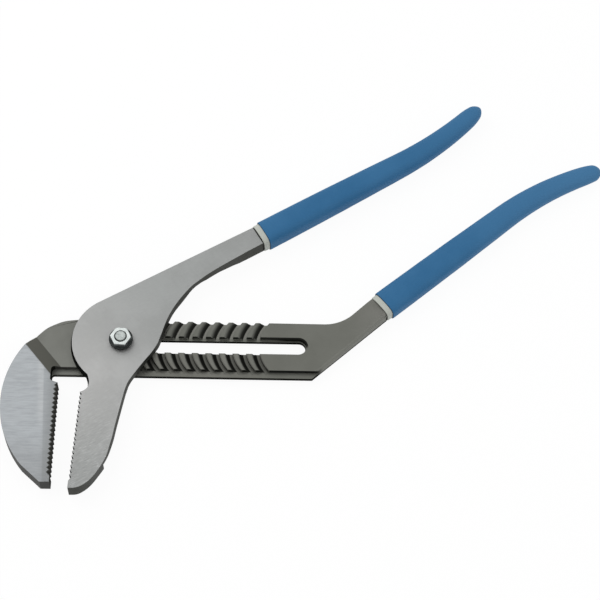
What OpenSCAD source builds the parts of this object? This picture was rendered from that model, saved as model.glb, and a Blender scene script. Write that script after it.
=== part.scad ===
// Tongue-and-groove water pump pliers, 20 inch class, lying flat with the nut up.
// A slotted arm carries the fixed jaw and a grooved shank. A pivot arm carries the movable jaw and
// turns on a bolt that runs along the slot. Its tongue sits in one groove of the shank at a time.
// Millimetres. X runs along the slot towards the handles, Z is up, and the origin is the point
// where the pivot axis meets the table.

/* [Shank] */
// Thickness of the base layer: the flange, the groove floors and the slot ledge
base_t = 3.8; // [3:0.1:6]
// Height of the rails above the base layer
rail_t = 3.9; // [3:0.1:6]
// Upper edge of the shank at the bend, from the slot's middle line
rail_up = 20; // [18:0.1:24]
// How much wider the shank is at the neck than at the bend
neck_rise = 0.7; // [0:0.1:1.5]
// Lower edge of the lower rail, from the slot's middle line
rail_low = 20.7; // [19:0.1:24]
// Width of the flange below the lower rail
flange_w = 4.9; // [3:0.1:7]
// Width of the slot between the rails
slot_w = 13.2; // [13:0.1:17]
// Width of the ledge along each side of the slot
ledge_w = 1; // [0.5:0.1:1.5]
// Fillet where the flange meets the fixed jaw
step_r = 3.5; // [1:0.1:4]

/* [Grooves] */
// Number of jaw settings
stations = 14; // [8:1:18]
// Distance between two settings
station_pitch = 10.59; // [9:0.01:13]
// Radius of the grooves and the tongue, about the pivot
groove_r = 33.5; // [31:0.1:37]
// Width of a groove at the top of the rails
groove_w = 5.8; // [5:0.1:7]
// Width of a groove at its floor; the side towards the jaws slopes
groove_floor_w = 2.9; // [2:0.1:4]
// Depth of the groove floors below the flange
groove_sink = 0.3; // [0.1:0.1:0.6]
// Half of the angle that a groove covers; its ends run out on the flange
groove_half = 43; // [41:1:46]
// Half of the angle that the tongue covers
tongue_half = 33; // [25:1:38]

/* [Fixed jaw] */
// Radius of the jaw's round back
back_r = 82.6; // [76:0.1:90]
// Furthest reach of the jaw's back from the pivot axis
back_reach = 90.3; // [86:0.1:96]
// Middle of the round back, below the slot's middle line
back_mid = 52.9; // [48:0.1:58]
// Throat wall, from the pivot axis
throat_x = 53.1; // [51:0.1:56]
// Depth of the jaw tip below the slot's middle line
fixed_reach = 119.7; // [110:0.1:128]
// Start of the teeth below the slot's middle line
fixed_teeth_y = 36.8; // [36:0.1:44]
// Teeth at their start, from the pivot axis
fixed_face_x = 47.1; // [45:0.1:49]
// Lean of the row of teeth
fixed_lean = 0.9; // [0:0.1:4]
// Width of the blunt tip
fixed_tip_w = 7.6; // [6:0.1:11]
// Length of the ramp from the jaw down to the shank
ramp_run = 11.6; // [8:0.1:16]

/* [Movable jaw] */
// Space between the two rows of teeth where they start
mouth_gap = 17.4; // [17:0.1:23]
// Start of the teeth below the slot's middle line
pivot_teeth_y = 44.4; // [44:0.1:50]
// Depth of the jaw tip below the slot's middle line
pivot_reach = 124.3; // [116:0.1:132]
// Lean of the row of teeth
pivot_lean = 3.3; // [2:0.1:5]
// Distance between teeth
tooth_pitch = 3.84; // [3:0.01:6]
// Length of the smooth stretch between the teeth and each jaw tip
plain_tip = 6; // [4:0.5:12]

/* [Pivot arm] */
// Thickness of the plate over the joint
plate_t = 6.3; // [5:0.1:8]
// Rim of the plate outside the tongue
hub_rim = 1.9; // [1.5:0.1:4]
// Boss that runs in the slot: how much narrower than the slot it is
boss_gap = 0.4; // [0.2:0.1:1]

/* [Pivot bolt] */
// Diameter of the bolt
bolt_d = 8.6; // [8:0.1:10.5]
// Diameter of the bolt head under the shank
head_d = 24; // [20:0.5:28]
// Thickness of the bolt head
head_t = 2.4; // [2:0.1:4]
// Width of the nut across its flats
nut_af = 14.3; // [13:0.1:17]
// Height of the nut
nut_h = 4; // [3:0.1:8]
// Diameter of the washer
washer_d = 18.6; // [17:0.1:22]
// Thickness of the washer's rim
washer_t = 1.8; // [1:0.1:3]
// Diameter of the washer's foot on the pivot arm
washer_foot_d = 15; // [13:0.1:16]
// Height of the washer's foot
washer_foot_h = 2; // [1:0.1:3]
// Length of bolt that stands out of the nut
bolt_stand = 1; // [0.3:0.1:2]

/* [Handles] */
// Mouth of the upper grip along the slot, from the pivot axis
upper_mouth_x = 104.4; // [98:0.1:112]
// Mouth of the upper grip above the slot's middle line
upper_mouth_y = 95.1; // [90:0.1:100]
// Direction of the upper handle
upper_heading = 31.7; // [29:0.1:34]
// Width of the upper handle at its mouth
upper_w = 16.4; // [14:0.1:18]
// Thickness of the upper handle at its mouth
upper_t = 13.6; // [12.5:0.1:14]
// Mouth of the lower grip along the slot, from the last setting
lower_mouth_x = 63.3; // [60:0.1:67]
// Mouth of the lower grip above the slot's middle line
lower_mouth_y = 34.5; // [31:0.1:38]
// Direction of the lower handle
lower_heading = 40.3; // [37:0.1:42]
// Width of the lower handle at its mouth
lower_w = 18.2; // [16:0.1:20]
// Rise of the lower handle's top from the shank to the mouth
lower_rise = 3.5; // [1:0.1:5]
// Inside radius of the bend in the lower handle
bend_r = 32; // [22:1:45]

/* [Grips] */
// Length of the upper grip with its liner
upper_len = 219; // [205:1:232]
// Turn of the upper grip towards its end
upper_turn = 17.2; // [10:0.1:22]
// Length of the lower grip with its liner
lower_len = 222; // [205:0.5:235]
// Turn of the lower grip towards its end
lower_turn = -22; // [-26:0.5:-14]
// Straight part of each grip
grip_straight = 131; // [115:1:145]
// Width of each grip just before its rounded end
grip_end_w = 14.2; // [10:0.1:15]
// Thickness of each grip just before its rounded end
grip_end_t = 11.5; // [10:0.1:14]
// Wall of the upper grip and liner beside the steel
upper_wall = 2.9; // [2.7:0.1:4]
// Wall of the lower grip and liner beside the steel
lower_wall = 2.4; // [2.3:0.1:4]
// Wall of both grips and liners above the steel
top_wall = 3; // [2.2:0.1:4]
// Thickness of the outer coat over the liner
coat_t = 1; // [0.6:0.1:1.2]
// Length of liner that shows at the mouth
band_len = 4.6; // [2:0.1:6]

/* [Fits] */
// Space between flat faces that slide past each other
run_gap = 0.2; // [0.1:0.05:0.3]
// Space on each side of the tongue in its groove
tongue_gap = 0.25; // [0.15:0.05:0.4]
// Space between the washer and the pivot arm
washer_gap = 0.05; // [0.02:0.01:0.1]
// Space round the bolt in the pivot arm
bore_gap = 0.05; // [0.02:0.01:0.1]

/* [Hidden] */
$fn = 96;

// Levels, from the table up
back_z = head_t + run_gap;
floor_z = back_z + base_t;
groove_z = floor_z - groove_sink;
rail_z = floor_z + rail_t;
plate_z = rail_z + run_gap;
jaw_z = plate_z + plate_t;
lower_top_z = rail_z + lower_rise;
upper_back_z = jaw_z - upper_t;

// Plan sizes
slot_len = (stations - 1) * station_pitch;
flange_y = rail_low + flange_w;
groove_in = groove_r - groove_w / 2;
hub_r = groove_in + groove_w + hub_rim;
bore_d = bolt_d + 2 * bore_gap;
far = 400;
sink = 0.5;
cut_over = 1;

// Grips: number of sides and rings, and the squareness of the section from mouth to end
grip_sides = 20;
grip_rings = 14;
end_rings = 4;
end_from = 0.97;
square_mouth = 3.4;
square_end = 2.4;
taper_power = 2;
tang_to = 0.85;
tang_end_half = 4.5;
tang_end_t = 6;
tang_corner = 2;

// One point at a distance along a heading
function along(a, d) = d * [cos(a), sin(a)];

// Points on an arc
function arc(c, r, a0, a1, n) = [for (i = [0:n]) c + along(a0 + (a1 - a0) * i / n, r)];

// Smooth curve through a few points, n steps to each span, without the last point
function curve(p, n) = [
    for (i = [0:len(p) - 2], j = [0:n - 1])
        let (a = p[max(i - 1, 0)], b = p[i], c = p[i + 1], d = p[min(i + 2, len(p) - 1)], t = j / n)
        0.5 * (2 * b + (c - a) * t + (2 * a - 5 * b + 4 * c - d) * t * t
            + (3 * b - a - 3 * c + d) * t * t * t)
];

// Arc of radius r that rounds the corner b between a and c
function corner(a, b, c, r, n = 10) =
    let (u = (a - b) / norm(a - b), v = (c - b) / norm(c - b), half = acos(u * v) / 2,
         m = b + (u + v) / norm(u + v) * r / sin(half),
         p = b + u * r / tan(half) - m, q = b + v * r / tan(half) - m,
         a0 = atan2(p[1], p[0]), turn = atan2(q[1], q[0]) - a0,
         sweep = turn > 180 ? turn - 360 : turn < -180 ? turn + 360 : turn)
    arc(m, r, a0, a0 + sweep, n);

// Row of right-angled teeth that starts at p and runs along heading a; side is -1 or 1
function teeth(p, a, length, side) =
    let (count = floor(length / tooth_pitch))
    [for (i = [0:count - 1], half = [0, 1])
        p + along(a, (i + half / 2) * tooth_pitch) + along(a + side * 90, half * tooth_pitch / 2)];

// Slotted arm in plan

lower_mouth = [slot_len + lower_mouth_x, lower_mouth_y];
lower_left = lower_mouth + along(lower_heading + 90, lower_w / 2);
lower_right = lower_mouth + along(lower_heading - 90, lower_w / 2);
heel_flare = 2.2;
bend_flare = 1.7;
bend_corner = [lower_left[0] - (lower_left[1] - rail_up) / tan(lower_heading + bend_flare), rail_up];
heel = [lower_right[0] - (lower_right[1] + flange_y) / tan(lower_heading + heel_flare), -flange_y];

back_c = [back_r - back_reach, -back_mid];
back_top_angle = 137;
back_low_angle = 220;
neck_y = rail_up + neck_rise;
neck_run = [for (p = [[-60.1, 8.9], [-53.3, 4.8], [-45.4, 1.6], [-36.4, 0.3], [-30, 0]])
    [p[0], neck_y - p[1]]];
neck_end = neck_run[len(neck_run) - 1];
fixed_angle = -90 - fixed_lean;
fixed_teeth = [-fixed_face_x, -fixed_teeth_y];
fixed_tip = fixed_teeth + along(fixed_angle, (fixed_reach - fixed_teeth_y) / cos(fixed_lean));
fixed_teeth_len = norm(fixed_tip - fixed_teeth) - plain_tip;
throat_drop = 9;
throat_top = [-throat_x, -flange_y];
throat_low = [-throat_x, -flange_y - throat_drop];
throat_r = 2;

function slotted_plan() = concat(
    arc(back_c, back_r, back_low_angle, back_top_angle, 28),
    curve(concat([back_c + along(back_top_angle, back_r)], neck_run), 4),
    [neck_end],
    corner(neck_end, bend_corner, lower_left, bend_r),
    [lower_left, lower_right, heel],
    corner(heel, throat_top, throat_low, throat_r, 6),
    corner(throat_top, throat_low, fixed_teeth, throat_r, 6),
    teeth(fixed_teeth, fixed_angle, fixed_teeth_len, -1),
    [fixed_tip - along(fixed_angle, plain_tip), fixed_tip, fixed_tip - [fixed_tip_w, 0]]
);

// Pivot arm in plan

upper_mouth = [upper_mouth_x, upper_mouth_y];
upper_left = upper_mouth + along(upper_heading + 90, upper_w / 2);
upper_right = upper_mouth + along(upper_heading - 90, upper_w / 2);
hub_from = atan2(upper_left[1], upper_left[0]) + acos(hub_r / norm(upper_left));
hub_to = 230;

pivot_angle = -90 - pivot_lean;
pivot_teeth = [mouth_gap - fixed_face_x, -pivot_teeth_y];
pivot_tip = pivot_teeth + along(pivot_angle, (pivot_reach - pivot_teeth_y) / cos(pivot_lean));
pivot_teeth_len = norm(pivot_tip - pivot_teeth) - plain_tip;
hollow = [for (p = [[6.6, 9.9], [6.5, 6.1], [5.2, 3.2], [2.1, 0.8], [0, 0]]) pivot_teeth + p];
tip_run = [for (p = [[0, 0], [5.5, 0.3], [10, 2.3], [15.5, 7], [20.9, 14.3], [27.7, 26], [31.9, 39.8]])
    pivot_tip + p];
back_run = [[0.2, -70.3], [4, -50.9], [6.2, -40.8], [9, -33], [18.4, -18], [27.9, -5], [31.2, 3.4],
            [37.4, 22.8], [47.4, 40.6], [59.2, 55.2]];
handle_run = [for (d = [28, 0]) upper_right - along(upper_heading, d)];

function pivot_plan() = concat(
    [upper_left],
    arc([0, 0], hub_r, hub_from, hub_to, 30),
    curve(concat([along(hub_to, hub_r)], hollow), 5),
    teeth(pivot_teeth, pivot_angle, pivot_teeth_len, 1),
    [pivot_tip - along(pivot_angle, plain_tip)],
    curve(concat(tip_run, back_run, handle_run), 5),
    [upper_right]
);

// Grips: a straight stretch and then an even turn

function grip_at(mouth, heading, turn, length, s) =
    let (rest = length - grip_straight, over = max(s - grip_straight, 0), bent = turn * over / rest,
         chord = over == 0 ? 0 : 2 * rest / (turn * PI / 180) * sin(bent / 2))
    mouth + along(heading, min(s, grip_straight)) + along(heading + bent / 2, chord);
function grip_heading(heading, turn, length, s) =
    heading + turn * max(s - grip_straight, 0) / (length - grip_straight);
function taper(from, to, u) = from - (from - to) * pow(u, taper_power);
function power(v, e) = sign(v) * pow(abs(v), e);

// One ring of the section: half width a, half thickness b, and squareness e
function ring(c, heading, z, a, b, e) = [
    for (k = [0:grip_sides - 1])
        let (q = 360 * k / grip_sides, side = a * power(cos(q), 2 / e), up = b * power(sin(q), 2 / e),
             p = c + along(heading - 90, side))
        [p[0], p[1], z + up]
];

// Closed body of a grip from s0 to its rounded end; skin is how far it lies inside the outer coat
module grip_body(mouth, heading, turn, length, w, t, s0, skin) {
    last = length - skin;
    stops = concat(
        [for (i = [0:grip_rings]) [s0 + (last * end_from - s0) * i / grip_rings, 1]],
        [for (i = [1:end_rings])
            let (q = 80 * i / end_rings)
            [last * (end_from + (1 - end_from) * sin(q)), cos(q)]]);
    rings = [for (st = stops)
        let (s = st[0], u = s / length, e = square_mouth + (square_end - square_mouth) * u,
             a = taper(w, grip_end_w, u) / 2 - skin, b = taper(t, grip_end_t, u) / 2 - skin)
        ring(grip_at(mouth, heading, turn, length, s), grip_heading(heading, turn, length, s),
             t / 2, a * st[1], b * st[1], e)];
    count = len(rings);
    pole = grip_at(mouth, heading, turn, length, last);
    points = concat([for (r = rings, p = r) p], [[pole[0], pole[1], t / 2]]);
    n = grip_sides;
    faces = concat(
        [[for (k = [0:n - 1]) n - 1 - k]],
        [for (i = [0:count - 2], k = [0:n - 1])
            let (a = i * n + k, b = i * n + (k + 1) % n)
            each [[a, b, a + n], [b, b + n, a + n]]],
        [for (k = [0:n - 1]) [(count - 1) * n + k, (count - 1) * n + (k + 1) % n, count * n]]);
    polyhedron(points, faces);
}

module upper_grip_body(s0, skin) {
    grip_body(upper_mouth, upper_heading, upper_turn, upper_len, upper_w + 2 * upper_wall,
        jaw_z + top_wall, s0, skin);
}

module lower_grip_body(s0, skin) {
    grip_body(lower_mouth, lower_heading, lower_turn, lower_len, lower_w + 2 * lower_wall,
        lower_top_z + top_wall, s0, skin);
}

// Side view of a handle, drawn along its heading with the mouth at zero
module side_view(mouth, heading, points) {
    translate(mouth) rotate(heading) translate([0, far / 2, 0]) rotate([90, 0, 0])
        linear_extrude(far) polygon(points);
}

// Point of the line through p and q at height z
function at_height(p, q, z) = [p[0] + (q[0] - p[0]) * (z - p[1]) / (q[1] - p[1]), z];

// Steel inside a grip: a bent taper with its corners stepped in; lead runs it out past the mouth
module tang(mouth, heading, turn, length, w, z0, z1, mid_z, lead) {
    last = length * tang_to;
    steps = 16;
    for (cut = [[0, tang_corner], [tang_corner, 0]]) {
        stops = concat(lead > 0 ? [-lead] : [], [for (i = [0:steps]) last * i / steps]);
        sides = [for (side = [-1, 1]) [for (s = stops)
            grip_at(mouth, heading, turn, length, s)
                + along(grip_heading(heading, turn, length, s) + side * 90,
                    w / 2 + (tang_end_half - w / 2) * s / last - cut[0])]];
        intersection() {
            linear_extrude(far)
                polygon(concat(sides[0], [for (i = [len(stops) - 1:-1:0]) sides[1][i]]));
            side_view(mouth, heading, [
                [-cut_over, z0 + cut[1]], [last + cut_over, mid_z - tang_end_t / 2 + cut[1]],
                [last + cut_over, mid_z + tang_end_t / 2 - cut[1]], [-cut_over, z1 - cut[1]]]);
        }
    }
}

module upper_tang(lead) {
    tang(upper_mouth, upper_heading, upper_turn, upper_len, upper_w, upper_back_z, jaw_z,
        (jaw_z + top_wall) / 2, lead);
}

module lower_tang(lead) {
    tang(lower_mouth, lower_heading, lower_turn, lower_len, lower_w, back_z, lower_top_z,
        (lower_top_z + top_wall) / 2, lead);
}

// Slot with round ends, from the first setting to the last
module slot(w) {
    translate([0, -w / 2]) square([slot_len, w]);
    for (x = [0, slot_len]) translate([x, 0]) circle(d = w);
}

// What the forging loses above the shank: the ramp at the jaw and the rise of the handle stay
ramp_head = [-74, -4.8];
ramp_heading = 39.5;
rise_from = -42;
rise_to = -6;
module above_shank() {
    ramp = [[0, jaw_z], [ramp_run, rail_z]];
    rise = [[rise_from, rail_z], [rise_to, lower_top_z]];
    difference() {
        translate([-far, -far, rail_z]) cube([2 * far, 2 * far, far]);
        side_view(ramp_head, ramp_heading, [[-far, 0], at_height(ramp[0], ramp[1], 0),
            at_height(ramp[0], ramp[1], 2 * jaw_z), [-far, 2 * jaw_z]]);
        side_view(lower_mouth, lower_heading,
            [at_height(rise[0], rise[1], 0), [far, 0], [far, lower_top_z], rise[1]]);
    }
}

// Space over the flange, with a fillet at the fixed jaw
module above_flange() {
    reach = flange_w + throat_r + cut_over;
    translate([0, 0, floor_z]) linear_extrude(far) difference() {
        translate([-throat_x, -rail_low - reach]) square([far, reach]);
        translate([-throat_x, -rail_low]) difference() {
            square(2 * step_r, center = true);
            translate([step_r, -step_r]) circle(step_r);
        }
    }
}

// Arc on the jaw side of the pivot axis, with its section drawn as radius and height
module arc_bar(half, section) {
    rotate(180 - half) rotate_extrude(angle = 2 * half) polygon(section);
}

// Groove: a steep side towards the pivot and a sloping side towards the jaws
module groove() {
    arc_bar(groove_half, [[groove_in, groove_z], [groove_in + groove_floor_w, groove_z],
        [groove_in + groove_w, rail_z], [groove_in + groove_w, rail_z + cut_over],
        [groove_in, rail_z + cut_over]]);
}

// Tongue: the groove's section, smaller by the clearance
module tongue() {
    foot = floor_z + run_gap;
    arc_bar(tongue_half, [[groove_in + tongue_gap, foot],
        [groove_in + groove_floor_w - tongue_gap, foot],
        [groove_in + groove_w - tongue_gap, plate_z + sink], [groove_in + tongue_gap, plate_z + sink]]);
}

module slotted_arm() {
    color("dimgray") {
        difference() {
            translate([0, 0, back_z]) linear_extrude(jaw_z - back_z) polygon(slotted_plan());
            above_shank();
            above_flange();
            translate([0, 0, floor_z]) linear_extrude(far) slot(slot_w);
            translate([0, 0, back_z - cut_over]) linear_extrude(far) slot(slot_w - 2 * ledge_w);
            for (i = [0:stations - 1]) translate([i * station_pitch, 0, 0])
                groove();
        }
        lower_tang(0);
    }
}

module lower_grip_liner() {
    color("ivory") difference() {
        lower_grip_body(0, coat_t);
        lower_tang(sink);
    }
}

module lower_grip() {
    color("steelblue") difference() {
        lower_grip_body(band_len, 0);
        lower_grip_body(0, coat_t);
    }
}

// What the pivot arm loses under its plate: the jaw's thick pad and the handle stay
pad_line = [[4.9, 3.4], [21.1, -58]];
pad_line_from = pivot_teeth + pad_line[0];
pad_line_to = pivot_teeth + pad_line[1];
pad_line_end = pad_line_from + 2 * (pad_line_to - pad_line_from);
thin_to = -58;
thick_from = -22;
module under_plate() {
    swell = [[thin_to, plate_z], [thick_from, upper_back_z]];
    difference() {
        translate([-far, -far, 0]) cube([2 * far, 2 * far, plate_z]);
        linear_extrude(far) polygon([[-far, pad_line_from[1]], pad_line_from, pad_line_end,
            [pad_line_end[0], -far], [-far, -far]]);
        side_view(upper_mouth, upper_heading,
            [at_height(swell[0], swell[1], far), swell[1], [far, upper_back_z], [far, far]]);
    }
}

module pivot_arm() {
    color("silver") difference() {
        union() {
            difference() {
                translate([0, 0, back_z]) linear_extrude(jaw_z - back_z) polygon(pivot_plan());
                under_plate();
            }
            tongue();
            translate([0, 0, floor_z + run_gap])
                cylinder(d = slot_w - boss_gap, h = plate_z - floor_z - run_gap + sink);
            upper_tang(0);
        }
        cylinder(d = bore_d, h = 2 * jaw_z);
    }
}

module upper_grip_liner() {
    color("ivory") difference() {
        upper_grip_body(0, coat_t);
        upper_tang(sink);
    }
}

module upper_grip() {
    color("steelblue") difference() {
        upper_grip_body(band_len, 0);
        upper_grip_body(0, coat_t);
    }
}

// Bolt: a round head under the shank, a shoulder that runs in the slot, and the plain shaft
washer_z = jaw_z + washer_gap;
nut_z = washer_z + washer_foot_h + washer_t;
bolt_top = nut_z + nut_h + bolt_stand;
bolt_chamfer = 0.6;
head_round = 1;
shoulder_gap = 0.1;
shoulder_r = slot_w / 2 - ledge_w - shoulder_gap;
module pivot_bolt() {
    color("gray") rotate_extrude() polygon(concat(
        [[0, 0]], arc([head_d / 2 - head_round, head_round], head_round, -90, 0, 6),
        [[head_d / 2, head_t], [shoulder_r, head_t], [shoulder_r, head_t + base_t],
         [bolt_d / 2, head_t + base_t], [bolt_d / 2, bolt_top - bolt_chamfer],
         [bolt_d / 2 - bolt_chamfer, bolt_top], [0, bolt_top]]));
}

module washer() {
    color("black") translate([0, 0, washer_z]) difference() {
        union() {
            cylinder(d = washer_foot_d, h = washer_foot_h + sink);
            translate([0, 0, washer_foot_h]) cylinder(d = washer_d, h = washer_t);
        }
        translate([0, 0, -cut_over]) cylinder(d = bore_d, h = washer_foot_h + washer_t + 2 * cut_over);
    }
}

nut_chamfer = 1;
nut_face_out = 0.4;
nut_bevel = 0.65;
nut_turn = -3;
module pivot_nut() {
    corner_r = nut_af / 2 / cos(30);
    color("gainsboro") translate([0, 0, nut_z]) difference() {
        intersection() {
            rotate(nut_turn) cylinder(r = corner_r, h = nut_h, $fn = 6);
            rotate_extrude() polygon([[0, 0], [corner_r + cut_over, 0],
                [corner_r + cut_over, nut_h - nut_chamfer], [nut_af / 2 + nut_face_out, nut_h],
                [0, nut_h]]);
        }
        translate([0, 0, -cut_over]) cylinder(d = bore_d, h = nut_h + 2 * cut_over);
        translate([0, 0, nut_h - nut_bevel])
            cylinder(d1 = bore_d, d2 = bore_d + 4 * nut_bevel, h = 2 * nut_bevel);
    }
}

slotted_arm();
lower_grip_liner();
lower_grip();
pivot_bolt();
washer();
pivot_nut();
pivot_arm();
upper_grip_liner();
upper_grip();
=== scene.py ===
import math

import bmesh
import bpy
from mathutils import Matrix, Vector


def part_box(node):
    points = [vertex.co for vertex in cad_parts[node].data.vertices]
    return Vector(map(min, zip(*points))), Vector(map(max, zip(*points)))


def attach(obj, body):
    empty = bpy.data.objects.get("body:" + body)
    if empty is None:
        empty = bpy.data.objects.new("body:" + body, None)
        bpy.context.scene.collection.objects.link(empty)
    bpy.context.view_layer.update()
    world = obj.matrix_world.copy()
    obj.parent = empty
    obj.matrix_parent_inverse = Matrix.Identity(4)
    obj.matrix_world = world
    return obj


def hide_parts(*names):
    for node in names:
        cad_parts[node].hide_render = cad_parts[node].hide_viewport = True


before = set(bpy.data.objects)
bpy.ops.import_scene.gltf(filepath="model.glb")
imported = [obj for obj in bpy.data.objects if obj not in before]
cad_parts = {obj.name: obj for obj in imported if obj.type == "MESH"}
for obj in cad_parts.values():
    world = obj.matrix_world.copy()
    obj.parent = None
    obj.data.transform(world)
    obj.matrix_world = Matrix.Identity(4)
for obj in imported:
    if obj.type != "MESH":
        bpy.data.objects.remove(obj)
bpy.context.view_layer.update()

MM = 0.001

# Levels of the steel, in metres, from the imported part
JAW_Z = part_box("pivot_arm")[1].z
PLATE_Z = JAW_Z - 6.3 * MM
RAIL_Z = PLATE_Z - 0.2 * MM
FLOOR_Z = RAIL_Z - 3.9 * MM
BACK_Z = FLOOR_Z - 3.8 * MM
UPPER_GRIP_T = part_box("upper_grip")[1].z
LOWER_GRIP_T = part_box("lower_grip")[1].z
ON_LEVEL = 0.05 * MM

# Settings along the slot, and the outer radius and the lip of the grooves about each of them
STATIONS, PITCH = 14, 10.59 * MM
GROOVE_OUT = 36.4 * MM
GROOVE_LIP = 1.5 * MM
GROOVES_FROM = -40 * MM
SLOT_END, SLOT_HALF = 137.7 * MM, 6.6 * MM

# Teeth of the fixed jaw lie right of the line x = TEETH_FROM + TEETH_SLANT y, between two heights
TEETH_FROM, TEETH_SLANT = -48.8 * MM, 0.01574
TEETH_LOW, TEETH_HIGH = -113.8 * MM, -38.6 * MM

# A darker strip beside those teeth lies right of the line x = STRIP_FROM - STRIP_SLANT y
STRIP_FROM, STRIP_SLANT = -59.7 * MM, 0.0483

# Grips: the mouth of each, its direction, and the path and section of its coat
UPPER_HANDLE = {
    "Mouth X": 104.4 * MM, "Mouth Y": 95.1 * MM,
    "Heading": math.radians(31.7), "Turn": math.radians(17.2),
    "Length": 219 * MM, "Width": 22.2 * MM, "Thickness": UPPER_GRIP_T, "End Taper": 0.4,
}
LOWER_HANDLE = {
    "Mouth X": 200.97 * MM, "Mouth Y": 34.5 * MM,
    "Heading": math.radians(40.3), "Turn": math.radians(-22),
    "Length": 222 * MM, "Width": 23.0 * MM, "Thickness": LOWER_GRIP_T, "End Taper": 0.2,
}
BOTH_HANDLES = {
    "Straight": 131 * MM, "End Width": 14.2 * MM, "End Thickness": 11.5 * MM,
    "Mouth Square": 3.4, "End Square": 2.4,
}
COAT = 1.0 * MM
BAND = 4.6 * MM


def srgb(r, g, b):
    """Colour as seen on a screen, 0 to 255, as the linear colour that a shader takes."""
    def part(v):
        v /= 255
        return v / 12.92 if v <= 0.04045 else ((v + 0.055) / 1.055) ** 2.4
    return (part(r), part(g), part(b), 1)


# Node helpers, for shader and geometry trees alike

def feed(tree, socket, value):
    """Link a socket, or set a plain value."""
    if isinstance(value, bpy.types.NodeSocket):
        tree.links.new(value, socket)
    else:
        socket.default_value = value


def calc(tree, operation, *values, clamp=False):
    node = tree.nodes.new("ShaderNodeMath")
    node.operation = operation
    node.use_clamp = clamp
    for socket, value in zip(node.inputs, values):
        feed(tree, socket, value)
    return node.outputs[0]


def product(tree, first, *others):
    for value in others:
        first = calc(tree, "MULTIPLY", first, value)
    return first


def largest(tree, first, *others):
    for value in others:
        first = calc(tree, "MAXIMUM", first, value)
    return first


def opposite(tree, mask):
    return calc(tree, "SUBTRACT", 1.0, mask)


def vary(tree, base, change, mask):
    return calc(tree, "MULTIPLY_ADD", mask, change, base)


def ramp(tree, value, low, high, to_low=0.0, to_high=1.0):
    """Smooth step of a value from low to high."""
    node = tree.nodes.new("ShaderNodeMapRange")
    node.interpolation_type = "SMOOTHSTEP"
    for socket, number in zip(node.inputs[1:5], (low, high, to_low, to_high)):
        feed(tree, socket, number)
    feed(tree, node.inputs[0], value)
    return node.outputs[0]


def between(tree, value, on, off):
    """1 after the smooth step on and before the smooth step off, each given as (from, to)."""
    return product(tree, ramp(tree, value, *on), ramp(tree, value, *off, 1.0, 0.0))


def blend_colour(tree, factor, a, b):
    node = tree.nodes.new("ShaderNodeMix")
    node.data_type = "RGBA"
    feed(tree, node.inputs[0], factor)
    feed(tree, node.inputs[6], a)
    feed(tree, node.inputs[7], b)
    return node.outputs[2]


def blend_height(tree, factor, a, b):
    node = tree.nodes.new("ShaderNodeMix")
    feed(tree, node.inputs[0], factor)
    feed(tree, node.inputs[2], a)
    feed(tree, node.inputs[3], b)
    return node.outputs[0]


def paint(tree, colour, *coats):
    """Lay coats over a colour, one after another, each given as (mask, colour)."""
    for mask, coat in coats:
        colour = blend_colour(tree, mask, colour, coat)
    return colour


def noise(tree, vector, scale, detail=4.0, roughness=0.55):
    node = tree.nodes.new("ShaderNodeTexNoise")
    feed(tree, node.inputs["Vector"], vector)
    feed(tree, node.inputs["Scale"], scale)
    feed(tree, node.inputs["Detail"], detail)
    feed(tree, node.inputs["Roughness"], roughness)
    return node.outputs[0]


# Shader groups that several finishes share

FLOAT, VECTOR = "NodeSocketFloat", "NodeSocketVector"


def new_group(name, inputs, outputs):
    """Empty shader group with its sockets, and its input and output nodes."""
    tree = bpy.data.node_groups.new(name, "ShaderNodeTree")
    for label, kind, default in inputs:
        socket = tree.interface.new_socket(label, in_out="INPUT", socket_type=kind)
        if default is not None:
            socket.default_value = default
    for label in outputs:
        tree.interface.new_socket(label, in_out="OUTPUT", socket_type=FLOAT)
    given = tree.nodes.new("NodeGroupInput").outputs
    return tree, given, tree.nodes.new("NodeGroupOutput").inputs


def build_streaks():
    """Long fine marks that run along X, as a belt grinder leaves them, from 0 to 1."""
    tree, given, out = new_group("grinding_streaks",
        [("Vector", VECTOR, None), ("Along", FLOAT, 30.0), ("Across", FLOAT, 900.0),
         ("Slant", FLOAT, 0.0)],
        ["Streak"])
    turn = tree.nodes.new("ShaderNodeVectorRotate")
    turn.rotation_type = "Z_AXIS"
    feed(tree, turn.inputs["Vector"], given["Vector"])
    feed(tree, turn.inputs["Angle"], given["Slant"])
    split = tree.nodes.new("ShaderNodeSeparateXYZ")
    feed(tree, split.inputs[0], turn.outputs[0])
    join = tree.nodes.new("ShaderNodeCombineXYZ")
    for axis, scale in enumerate(("Along", "Across", "Across")):
        feed(tree, join.inputs[axis], calc(tree, "MULTIPLY", split.outputs[axis], given[scale]))
    feed(tree, out["Streak"], noise(tree, join.outputs[0], 1.0, 3.0, 0.6))
    return tree


def build_mottle():
    """Cloudy patches and fine specks, each from 0 to 1."""
    tree, given, out = new_group("forged_mottle",
        [("Vector", VECTOR, None), ("Cloud Scale", FLOAT, 40.0), ("Speck Scale", FLOAT, 1500.0)],
        ["Cloud", "Speck"])
    cloud = noise(tree, given["Vector"], given["Cloud Scale"])
    feed(tree, out["Cloud"], ramp(tree, cloud, 0.3, 0.7))
    feed(tree, out["Speck"], noise(tree, given["Vector"], given["Speck Scale"], 2.0))
    return tree


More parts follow.
